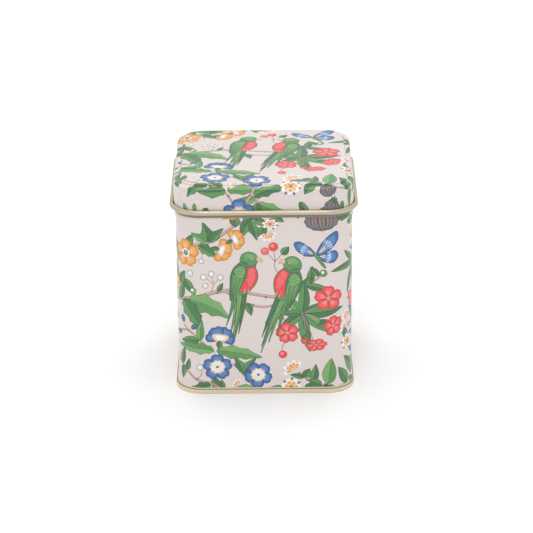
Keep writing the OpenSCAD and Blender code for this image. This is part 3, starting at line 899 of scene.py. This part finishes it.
def printed(sheet, grid, margin, tolerance):
    """The points, triangles and inks of a flat print, and the indices of the grid points for its folds."""
    outlines = [simplify(points, tolerance) for _, points in sheet]
    kept = [(ink, o) for (ink, _), o in zip(sheet, outlines) if len(o) > 2]
    low, high = grid.reshape(-1, 2).min(0), grid.reshape(-1, 2).max(0)
    starts, ends = visible_edges([o for _, o in kept], low, high)
    starts, ends = clipped(starts, ends, margin)
    count = grid.shape[0] * grid.shape[1]
    index = np.arange(count).reshape(grid.shape[:2])
    upright = np.stack([index[:-1].ravel(), index[1:].ravel()], 1)
    level = np.stack([index[:, :-1].ravel(), index[:, 1:].ravel()], 1)
    edges = [(int(a), int(b)) for a, b in np.concatenate([upright, level])]
    edges += [(count + 2 * i, count + 2 * i + 1) for i in range(len(starts))]
    points = np.concatenate([grid.reshape(-1, 2), np.stack([starts, ends], 1).reshape(-1, 2)])
    result = delaunay_2d_cdt([tuple(p) for p in points], edges, [], 0, MERGE_DISTANCE, True)
    flat = np.array([tuple(p) for p in result[0]])
    triangles = np.array([f for f in result[2] if len(f) == 3])
    home = np.zeros(count, int)
    for i, sources in enumerate(result[3]):
        for source in sources:
            if source < count:
                home[source] = i
                flat[i] = points[source]
    a, b, c = (flat[triangles[:, k]] for k in range(3))
    cross = (b[:, 0] - a[:, 0]) * (c[:, 1] - a[:, 1]) - (b[:, 1] - a[:, 1]) * (c[:, 0] - a[:, 0])
    triangles[cross < 0] = triangles[cross < 0][:, ::-1]
    triangles = triangles[np.abs(cross) > SLIVER]
    middles = flat[triangles].mean(1)
    order = np.argsort(middles[:, 0])
    sorted_x = middles[order, 0]
    names = list(INKS)
    inks = np.full(len(triangles), names.index("ground"))
    for ink, outline in kept:
        low_y, high_y, near = box_of(outline, sorted_x)
        part = order[near]
        part = part[(middles[part, 1] > low_y) & (middles[part, 1] < high_y)]
        if len(part):
            inks[part[inside_polygon(middles[part], outline)]] = names.index(ink)
    return flat, triangles, inks, home.reshape(grid.shape[:2])


class Skin:
    """A closed sheet under construction: points, and each triangle's corners, normals and material."""

    def __init__(self):
        self.points, self.triangles, self.normals, self.materials, self.count = [], [], [], [], 0

    def add_points(self, points):
        self.points.append(np.asarray(points, float))
        first = self.count
        self.count += len(points)
        return np.arange(first, self.count)

    def add(self, triangles, normals, material):
        self.triangles.append(triangles)
        self.normals.append(normals)
        self.materials.append(np.broadcast_to(material, len(triangles)))

    def wrap(self, parts, base, out, first, last, material, down):
        """Sweeps the parts of a profile round the columns, from one ring of point indices to another."""
        ring = first
        for k, rows in enumerate(parts):
            for i in range(len(rows) - 1):
                closing = last is not None and k == len(parts) - 1 and i == len(rows) - 2
                near, far = (np.repeat(rows[j][None], len(base), 0).T for j in (i, i + 1))
                near_normals = place(base, out, *near)[1]
                far_points, far_normals = place(base, out, *far)
                next_ring = last if closing else self.add_points(far_points)
                near_next, far_next = np.roll(ring, -1), np.roll(next_ring, -1)
                corners = [ring, near_next, far_next, next_ring]
                turned = [np.roll(n, -1, 0) for n in (near_normals, far_normals)]
                facing = [near_normals, *turned, far_normals]
                if down:
                    corners, facing = corners[::-1], facing[::-1]
                for picks in ((0, 1, 2), (0, 2, 3)):
                    self.add(*(np.stack([part[p] for p in picks], 1) for part in (corners, facing)), material)
                ring = next_ring
        return ring

    def make(self, name, materials):
        points = np.concatenate(self.points) * MM
        triangles = np.concatenate(self.triangles)
        normals = np.concatenate(self.normals)
        numbers = np.concatenate(self.materials)
        good = np.all(triangles != np.roll(triangles, 1, 1), 1)
        triangles, normals, numbers = triangles[good], normals[good], numbers[good]
        used = np.zeros(len(points), bool)
        used[triangles.ravel()] = True
        renumber = np.cumsum(used) - 1
        mesh = bpy.data.meshes.new(name)
        mesh.from_pydata(points[used].tolist(), [], renumber[triangles].tolist())
        for material in materials:
            mesh.materials.append(material)
        mesh.polygons.foreach_set("material_index", numbers.astype(np.int32))
        mesh.polygons.foreach_set("use_smooth", np.ones(len(triangles), bool))
        mesh.update()
        mesh.normals_split_custom_set(normals.reshape(-1, 3).tolist())
        obj = bpy.data.objects.new(name, mesh)
        bpy.context.scene.collection.objects.link(obj)
        return obj


def body_skin():
    """The side wall: the print on the outside, gold lacquer on the neck curl and the inside."""
    sheet = []
    paper = Pen(sheet)
    for u in (-quarter, quarter, 3 * quarter):
        side_garden(paper.at(u, 0))
    for u in (-2 * quarter, 2 * quarter, 0):
        garden(paper.at(u, 0))
    start = -girth / 2 - SIDE_SEAM_X
    stop = start + girth
    u = girth_samples(start)
    u = np.concatenate([[start, start + SIDE_SEAM_HALF], u, [stop - SIDE_SEAM_HALF, stop]])
    wall_z = wall_outside[:, 1]
    z = np.sort(np.concatenate([wall_z, [GROOVE_SHADE_TOP, PRINT_FOOT, print_top]]))
    grid = np.stack(np.broadcast_arrays(u[None, :], z[:, None]), 2)

    def margin(p):
        u, v = p.T
        return np.minimum.reduce([u - start, stop - u, v - z[0], z[-1] - v]) - EDGE_MARGIN

    sheet = [(ink, points) for ink, points in sheet if points[:, 1].min() < print_top]
    # Bands round the whole girth: plain ground above the print, painted shadow under the lid's lip, ground
    # along the foot and painted shade in the groove above the seam ring
    for ink, low, high in (
        ("ground", print_top, neck_z + 1), ("rim_painted_shadow", print_top, rim_z),
        ("ground", 0, PRINT_FOOT), ("groove_painted_shade", 0, GROOVE_SHADE_TOP),
    ):
        band = [(start - 1, low), (stop + 1, low), (stop + 1, high), (start - 1, high)]
        sheet.append((ink, np.array(band)))
    flat, triangles, inks, home = printed(sheet, grid, margin, LINE_TOLERANCE)
    height = flat[triangles][:, :, 1].mean(1)
    # Gold lacquer shows between the painted groove shade and the print's foot
    inks[(height > GROOVE_SHADE_TOP) & (height < PRINT_FOOT)] = GOLD
    base, out = around(flat[:, 0])
    x, nx, nz = (np.interp(flat[:, 1], wall_z, wall_outside[:, k]) for k in (0, 2, 3))
    on_cut = (flat[:, 0] < start + ON_CUT) | (flat[:, 0] > stop - ON_CUT)
    middle = (flat[:, 1] > FLARE_TOP) & (flat[:, 1] < bead_z - BEAD_HEIGHT / 2)
    points, normals = place(base, out, x - SIDE_SEAM_DEPTH * (on_cut & middle), flat[:, 1], nx, nz)
    skin = Skin()
    number = skin.add_points(points)
    for row in home:
        number[row[-1]] = number[row[0]]
    corner_normals = normals[triangles]
    in_groove = np.any((on_cut & middle)[triangles], 1)
    a, b, c = (points[triangles[in_groove][:, k]] for k in range(3))
    corner_normals[in_groove] = unit(np.cross(b - a, c - a))[:, None, :]
    skin.add(number[triangles], corner_normals, inks)
    base, out = around(u[:-1])
    skin.wrap(body_rest, base, out, number[home[-1, :-1]], number[home[0, :-1]], GOLD, False)
    return skin


def lid_skin():
    """The lid: one print folded over panel, shoulder and skirt, with lacquer on the lip and underneath."""
    sheet = []
    paper = Pen(sheet).at(0, -PRINT_MIDDLE)
    garden(paper)
    folded_edge(paper)
    rows = lid_outside
    reach = np.concatenate([[0], np.cumsum(np.hypot(*np.diff(rows[:, :2], axis=0).T))]) + rows[0, 0]
    u = girth_samples(-quarter / 2)
    base, out = around(u)
    grid = np.stack([base + out * r for r in reach])
    grid = np.concatenate([grid, grid[:, :1]], 1)

    def margin(p):
        return reach[-1] - np.linalg.norm(p - np.clip(p, -core, core), axis=1) - EDGE_MARGIN - CHORD_SLACK

    flat, triangles, inks, home = printed(sheet, grid, margin, LINE_TOLERANCE)
    nearest = np.clip(flat, -core, core)
    away = np.linalg.norm(flat - nearest, axis=1)
    x = np.where(away < reach[0], away, np.interp(away, reach, rows[:, 0]))
    z, nx, nz = (np.interp(away, reach, rows[:, k]) for k in (1, 2, 3))
    points, normals = place(nearest, unit(flat - nearest), x, z, nx, nz)
    skin = Skin()
    number = skin.add_points(points)
    skin.add(number[triangles], normals[triangles], inks)
    under = skin.wrap(lid_rest, base, out, number[home[-1, :-1]], None, GOLD, True)
    centre = skin.add_points([(0, 0, top_z - SHEET)])[0]
    fan = np.stack([np.roll(under, -1), under, np.full(len(under), centre)], 1)
    skin.add(fan, np.broadcast_to((0.0, 0.0, -1.0), (len(fan), 3, 3)), GOLD)
    return skin


# ---- materials
COAT_ROUGHNESS = 0.18
NOISE_DETAIL = 3.0
BUMP_DISTANCE = 0.05 * MM


def linear(rgb):
    """Linear colour from sRGB values of 0 to 255."""
    c = np.array(rgb, float) / 255
    return (*np.where(c <= 0.04045, c / 12.92, ((c + 0.055) / 1.055) ** 2.4), 1.0)


def put(node, **values):
    """Sets inputs of a node. An underscore stands for a space."""
    for name, value in values.items():
        node.inputs[name.replace("_", " ")].default_value = value


def material(name, rgb, metallic, rough, noise_scale, bump, coat=0.0, stretch=(1, 1, 1)):
    """A painted or bare metal surface: constant colour, with noise in its roughness and a fine bump."""
    m = bpy.data.materials.new(name)
    m.use_nodes = True
    nodes = m.node_tree.nodes
    shader = nodes["Principled BSDF"]
    coordinates, mapping, noise, spread, relief = (
        nodes.new("ShaderNode" + kind) for kind in ("TexCoord", "Mapping", "TexNoise", "MapRange", "Bump"))
    put(shader, Base_Color=linear(rgb), Metallic=metallic, Coat_Weight=coat, Coat_Roughness=COAT_ROUGHNESS)
    put(mapping, Scale=stretch)
    put(noise, Scale=noise_scale, Detail=NOISE_DETAIL)
    put(spread, To_Min=rough[0], To_Max=rough[1])
    put(relief, Strength=bump, Distance=BUMP_DISTANCE)
    for source, output, target, socket in (
        (coordinates, "Object", mapping, "Vector"), (mapping, "Vector", noise, "Vector"),
        (noise, "Fac", spread, "Value"), (spread, "Result", shader, "Roughness"),
        (noise, "Fac", relief, "Height"), (relief, "Normal", shader, "Normal"),
    ):
        m.node_tree.links.new(source.outputs[output], target.inputs[socket])
    return m


inks = [material(f"ink_{name}", rgb, 0.0, (0.3, 0.42), 900, 0.12, 0.35) for name, rgb in INKS.items()]
gold = material("gold_lacquer", (228, 213, 187), 1.0, (0.38, 0.52), 500, 0.15)
# The lid's lip and underside have the same gold lacquer as the other parts, given a darker colour as painted
# shade
shaded_rim_gold = material("rim_lacquer_painted_shade", (202, 190, 168), 1.0, (0.4, 0.54), 500, 0.15)
tinplate = material("tinplate", (214, 214, 210), 1.0, (0.2, 0.36), 600, 0.15)
aluminium = material("turned_aluminium", (222, 222, 220), 1.0, (0.24, 0.4), 1500, 0.2, stretch=(0.1, 0.1, 4))
rivet = material("rivet_metal", (190, 188, 182), 1.0, (0.25, 0.4), 900, 0.15)


# ---- pieces
body = body_skin().make("printed_wall", [*inks, gold])
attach(body, "tin_body")
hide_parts("body_wall")

# The lid's lacquer slot takes the darker copy of the gold, painted shade
lid = lid_skin().make("printed_lid", [*inks, shaded_rim_gold])
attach(lid, "lid")
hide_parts("lid")

for node, finish in (
    ("base_end", gold), ("sifter_tray", tinplate), ("lift_knob", aluminium), ("knob_rivet", rivet)
):
    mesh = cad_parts[node].data
    mesh.materials.clear()
    mesh.materials.append(finish)

# ---- stage, light and camera
FLOOR_SIZE = 6.0
FLOOR_GREY = 0.95
FLOOR_ROUGHNESS = 0.8
WORLD_STRENGTH = 0.62
CAMERA_DISTANCE = 1.0
CAMERA_ELEVATION = 22.0
CAMERA_LENS = 151.0
SENSOR_WIDTH = 36.0
CAMERA_X = 0.94 * MM
CAMERA_ROLL = 0.45
AIM_Z = 44.2 * MM
# name, location, target, size and power in watts
LIGHTS = (
    ("key", (-0.04, -0.85, 1.1), (0, 0, 0.05), (0.4, 0.4), 4.4),
    ("overhead", (0.0, 0.1, 1.3), (0, 0, 0.05), (1.4, 0.8), 4.4),
    ("backdrop", (0.0, 1.3, 1.1), (0, 1.3, 0), (3.4, 1.8), 12),
    ("left_box", (-1.3, -0.5, 0.6), (0, 0, 0.05), (0.5, 0.9), 0.9),
    ("right_box", (1.3, -0.5, 0.6), (0, 0, 0.05), (0.5, 0.9), 1.2),
)

bpy.ops.mesh.primitive_plane_add(size=FLOOR_SIZE, location=(0, 0, 0))
floor = bpy.context.object
floor.name = "floor"
floor_material = bpy.data.materials.new("pale_floor")
floor_material.use_nodes = True
floor_shader = floor_material.node_tree.nodes["Principled BSDF"]
put(floor_shader, Base_Color=(*[FLOOR_GREY] * 3, 1), Roughness=FLOOR_ROUGHNESS)
floor.data.materials.append(floor_material)

world = bpy.data.worlds.new("studio")
world.use_nodes = True
put(world.node_tree.nodes["Background"], Color=(1, 1, 1, 1), Strength=WORLD_STRENGTH)
bpy.context.scene.world = world
bpy.context.scene.view_settings.view_transform = "Standard"

for name, location, target, size, power in LIGHTS:
    data = bpy.data.lights.new(name, "AREA")
    data.shape = "RECTANGLE"
    data.size, data.size_y = size
    data.energy = power
    light = bpy.data.objects.new(name, data)
    light.location = location
    light.rotation_euler = (Vector(target) - Vector(location)).to_track_quat("-Z", "Y").to_euler()
    bpy.context.scene.collection.objects.link(light)

camera_data = bpy.data.cameras.new("camera")
camera_data.lens = CAMERA_LENS
camera_data.sensor_width = SENSOR_WIDTH
camera = bpy.data.objects.new("camera", camera_data)
tilt = math.radians(CAMERA_ELEVATION)
camera.location = (CAMERA_X, -CAMERA_DISTANCE * math.cos(tilt), AIM_Z + CAMERA_DISTANCE * math.sin(tilt))
camera.rotation_euler = (math.pi / 2 - tilt, 0, 0)
camera.rotation_euler.rotate_axis("Z", -math.radians(CAMERA_ROLL))
bpy.context.scene.collection.objects.link(camera)
bpy.context.scene.camera = camera
